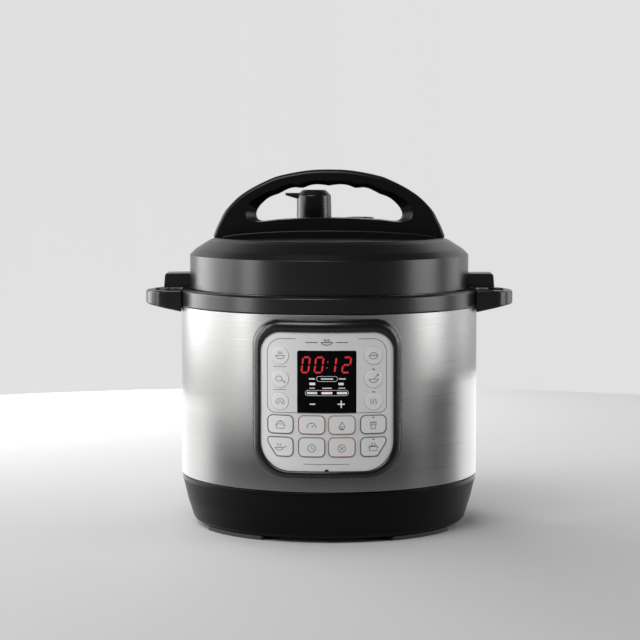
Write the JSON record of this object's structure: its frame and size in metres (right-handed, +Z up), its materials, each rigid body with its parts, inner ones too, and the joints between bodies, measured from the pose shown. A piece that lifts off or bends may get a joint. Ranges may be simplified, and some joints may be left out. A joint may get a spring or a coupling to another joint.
{
  "type": "electric pressure cooker",
  "caption": "Round countertop electric pressure cooker with a bayonet lid, lift-out pot, steam valve and a front key panel.",
  "frame": {"origin": "on the cooker's own vertical axis, in the plane its feet stand on", "axes": "+Z up, -Y towards the user (the control panel faces -Y), +X to the right side handle seen from the front"},
  "size_m": [0.293, 0.2658, 0.2823],
  "materials": {
    "charcoal": "satin moulded polypropylene",
    "black": "satin moulded polypropylene",
    "steel": "brushed stainless, grain round the body",
    "pressed_steel": "pressed stainless, satin",
    "aluminium": "cast, machined on top",
    "brass": "machined",
    "silver": "silver printed film",
    "glass": "dark transparent screen",
    "smoked": "clear smoked plastic",
    "rubber": "moulded",
    "silicone": "translucent white silicone",
    "board": "glass-epoxy board"
  },
  "bodies": {
    "base": {"base_skirt": "charcoal", "bottom_cover": "black", "bottom_screw_1": "pressed_steel", "bottom_screw_2": "pressed_steel", "bottom_screw_3": "pressed_steel", "bottom_screw_4": "pressed_steel", "foot_1": "rubber", "foot_2": "rubber", "foot_3": "rubber", "foot_4": "rubber", "power_inlet": "black", "inlet_pin_1": "brass", "inlet_pin_2": "brass", "inlet_pin_3": "brass", "panel_bezel": "charcoal", "panel_overlay": "silver", "display_window": "glass", "led_display": "black", "control_board": "board", "outer_shell": "steel", "upper_ring": "black", "side_handle_right": "charcoal", "side_handle_left": "charcoal", "outer_pot": "pressed_steel", "heating_plate": "aluminium", "sensor_spring": "pressed_steel", "sensor_seat": "pressed_steel", "power_board": "board", "pressure_switch": "black", "drip_spout": "charcoal"},
    "cooking_pot": {"cooking_pot": "pressed_steel"},
    "seal": {"sealing_ring": "silicone"},
    "lid": {"lid_cover": "charcoal", "lid_handle": "charcoal", "inner_lid": "pressed_steel", "seal_rack": "pressed_steel", "vent_pipe": "pressed_steel", "steam_filter": "pressed_steel"},
    "valve_weight": {"valve_weight": "brass"},
    "steam_valve": {"steam_valve": "black"},
    "float": {"float_valve": "pressed_steel", "float_cap": "silicone"},
    "sensor": {"temperature_sensor": "aluminium"},
    "cup": {"condensation_cup": "smoked"},
    "key_left_a": {"key_left_a": "silver"},
    "key_left_b": {"key_left_b": "silver"},
    "key_left_c": {"key_left_c": "silver"},
    "key_right_a": {"key_right_a": "silver"},
    "key_right_b": {"key_right_b": "silver"},
    "key_right_c": {"key_right_c": "silver"},
    "key_minus": {"key_minus": "silver"},
    "key_plus": {"key_plus": "silver"},
    "key_row1_1": {"key_row1_1": "silver"},
    "key_row1_2": {"key_row1_2": "silver"},
    "key_row1_3": {"key_row1_3": "silver"},
    "key_row1_4": {"key_row1_4": "silver"},
    "key_row2_1": {"key_row2_1": "silver"},
    "key_row2_2": {"key_row2_2": "silver"},
    "key_row2_3": {"key_row2_3": "silver"},
    "key_row2_4": {"key_row2_4": "silver"}
  },
  "joints": [
    {"name": "pot_lift", "type": "slide", "parent": "base", "child": "cooking_pot", "axis": [0, 0, 1], "range_m": [0, 0.15]},
    {"name": "lid_lift", "type": "slide", "parent": "cooking_pot", "child": "seal", "axis": [0, 0, 1], "range_m": [0, 0.12]},
    {"name": "lid_turn", "type": "hinge", "parent": "seal", "child": "lid", "pos_m": [0, 0, 0.1884], "axis": [0, 0, 1], "range_deg": [0, 30]},
    {"name": "valve_lift", "type": "slide", "parent": "lid", "child": "valve_weight", "axis": [0, 0, 1], "range_m": [0, 0.002]},
    {"name": "valve_turn", "type": "hinge", "parent": "valve_weight", "child": "steam_valve", "pos_m": [-0.013, 0.045, 0.25], "axis": [0, 0, 1], "range_deg": [0, 45]},
    {"name": "float_rise", "type": "slide", "parent": "lid", "child": "float", "axis": [0, 0, 1], "range_m": [0, 0.005]},
    {"name": "sensor_press", "type": "slide", "parent": "base", "child": "sensor", "axis": [0, 0, 1], "range_m": [-0.003, 0], "stiffness_N_per_m": 300, "springref_m": 0.003, "deforming": ["sensor_spring"]},
    {"name": "cup_pull", "type": "slide", "parent": "base", "child": "cup", "axis": [0, 1, 0], "range_m": [0, 0.04]},
    {"name": "press_left_a", "type": "slide", "parent": "base", "child": "key_left_a", "axis": [0, 1, 0], "range_m": [0, 0.0006], "stiffness_N_per_m": 1500},
    {"name": "press_left_b", "type": "slide", "parent": "base", "child": "key_left_b", "axis": [0, 1, 0], "range_m": [0, 0.0006], "stiffness_N_per_m": 1500},
    {"name": "press_left_c", "type": "slide", "parent": "base", "child": "key_left_c", "axis": [0, 1, 0], "range_m": [0, 0.0006], "stiffness_N_per_m": 1500},
    {"name": "press_right_a", "type": "slide", "parent": "base", "child": "key_right_a", "axis": [0, 1, 0], "range_m": [0, 0.0006], "stiffness_N_per_m": 1500},
    {"name": "press_right_b", "type": "slide", "parent": "base", "child": "key_right_b", "axis": [0, 1, 0], "range_m": [0, 0.0006], "stiffness_N_per_m": 1500},
    {"name": "press_right_c", "type": "slide", "parent": "base", "child": "key_right_c", "axis": [0, 1, 0], "range_m": [0, 0.0006], "stiffness_N_per_m": 1500},
    {"name": "press_minus", "type": "slide", "parent": "base", "child": "key_minus", "axis": [0, 1, 0], "range_m": [0, 0.0006], "stiffness_N_per_m": 1500},
    {"name": "press_plus", "type": "slide", "parent": "base", "child": "key_plus", "axis": [0, 1, 0], "range_m": [0, 0.0006], "stiffness_N_per_m": 1500},
    {"name": "press_row1_1", "type": "slide", "parent": "base", "child": "key_row1_1", "axis": [0, 1, 0], "range_m": [0, 0.0006], "stiffness_N_per_m": 1500},
    {"name": "press_row1_2", "type": "slide", "parent": "base", "child": "key_row1_2", "axis": [0, 1, 0], "range_m": [0, 0.0006], "stiffness_N_per_m": 1500},
    {"name": "press_row1_3", "type": "slide", "parent": "base", "child": "key_row1_3", "axis": [0, 1, 0], "range_m": [0, 0.0006], "stiffness_N_per_m": 1500},
    {"name": "press_row1_4", "type": "slide", "parent": "base", "child": "key_row1_4", "axis": [0, 1, 0], "range_m": [0, 0.0006], "stiffness_N_per_m": 1500},
    {"name": "press_row2_1", "type": "slide", "parent": "base", "child": "key_row2_1", "axis": [0, 1, 0], "range_m": [0, 0.0006], "stiffness_N_per_m": 1500},
    {"name": "press_row2_2", "type": "slide", "parent": "base", "child": "key_row2_2", "axis": [0, 1, 0], "range_m": [0, 0.0006], "stiffness_N_per_m": 1500},
    {"name": "press_row2_3", "type": "slide", "parent": "base", "child": "key_row2_3", "axis": [0, 1, 0], "range_m": [0, 0.0006], "stiffness_N_per_m": 1500},
    {"name": "press_row2_4", "type": "slide", "parent": "base", "child": "key_row2_4", "axis": [0, 1, 0], "range_m": [0, 0.0006], "stiffness_N_per_m": 1500}
  ]
}
